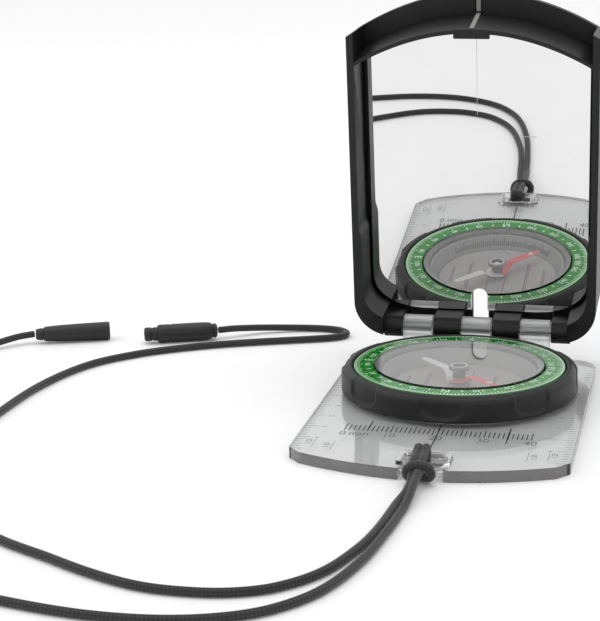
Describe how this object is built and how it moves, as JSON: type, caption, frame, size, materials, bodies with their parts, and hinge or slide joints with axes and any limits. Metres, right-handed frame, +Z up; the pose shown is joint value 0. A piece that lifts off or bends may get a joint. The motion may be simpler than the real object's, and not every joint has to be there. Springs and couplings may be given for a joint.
{
  "type": "sighting compass",
  "caption": "Clear base plate compass with a turning green dial housing, a hinged black mirror lid with a sighting slot, and a breakaway neck lanyard.",
  "frame": {"origin": "on the table plane under the middle of the plate and the raised lid, so at the centre of the bounding box without the lanyard", "axes": "+X to the plate's right as seen from the lanyard end, +Y from the lanyard end to the hinge, +Z up"},
  "size_m": [0.1643, 0.1859, 0.0904],
  "materials": {
    "clear_acrylic": "clear polished acrylic",
    "pin_steel": "bright steel",
    "housing_black": "fine matt black",
    "dial_green": "green with pale graduation and a pale luminous rim",
    "card_grey": "printed grey card",
    "seal_rubber": "matt",
    "needle_red": "red half and white half, painted",
    "magnet_steel": "plain magnet",
    "jewel": "polished synthetic jewel",
    "cap_white": "pale plastic",
    "mirror": "silvered, with an etched centre line",
    "pad_foam": "foam adhesive pad",
    "sight_line_grey": "pale grey luminous strip",
    "cord_black": "braided black cord",
    "connector_black": "satin black"
  },
  "bodies": {
    "base": {"base_plate": "clear_acrylic", "hinge_pin": "pin_steel", "lanyard_knot": "cord_black", "lanyard_leg_a": "cord_black", "lanyard_leg_b": "cord_black", "male_connector": "connector_black", "male_plug": "connector_black", "male_collar": "connector_black", "female_connector": "connector_black", "female_collar": "connector_black"},
    "housing": {"bezel_ring": "housing_black", "dial_ring": "dial_green", "retaining_ring": "housing_black", "capsule_cup": "clear_acrylic", "orienting_card": "card_grey", "declination_ring": "card_grey", "capsule_seal": "seal_rubber", "capsule_lens": "clear_acrylic", "pivot_boss": "housing_black", "pivot_pin": "pin_steel"},
    "needle": {"needle_blade": "needle_red", "needle_hub": "housing_black", "needle_magnet": "magnet_steel", "needle_jewel": "jewel", "hub_cap": "cap_white"},
    "lid": {"lid_shell": "housing_black", "mirror_glass": "mirror", "mirror_pad": "pad_foam", "ledge_line": "sight_line_grey", "lip_line": "sight_line_grey"}
  },
  "joints": [
    {"name": "lid_hinge", "type": "hinge", "parent": "base", "child": "lid", "pos_m": [0, 0.03851, 0.00895], "axis": [1, 0, 0], "range_deg": [-97, 83]},
    {"name": "bezel_turn", "type": "hinge", "parent": "base", "child": "housing", "pos_m": [0, 0.00821, 0], "axis": [0, 0, 1], "continuous": true},
    {"name": "needle_turn", "type": "hinge", "parent": "housing", "child": "needle", "pos_m": [0, 0.00821, 0], "axis": [0, 0, 1], "continuous": true}
  ]
}
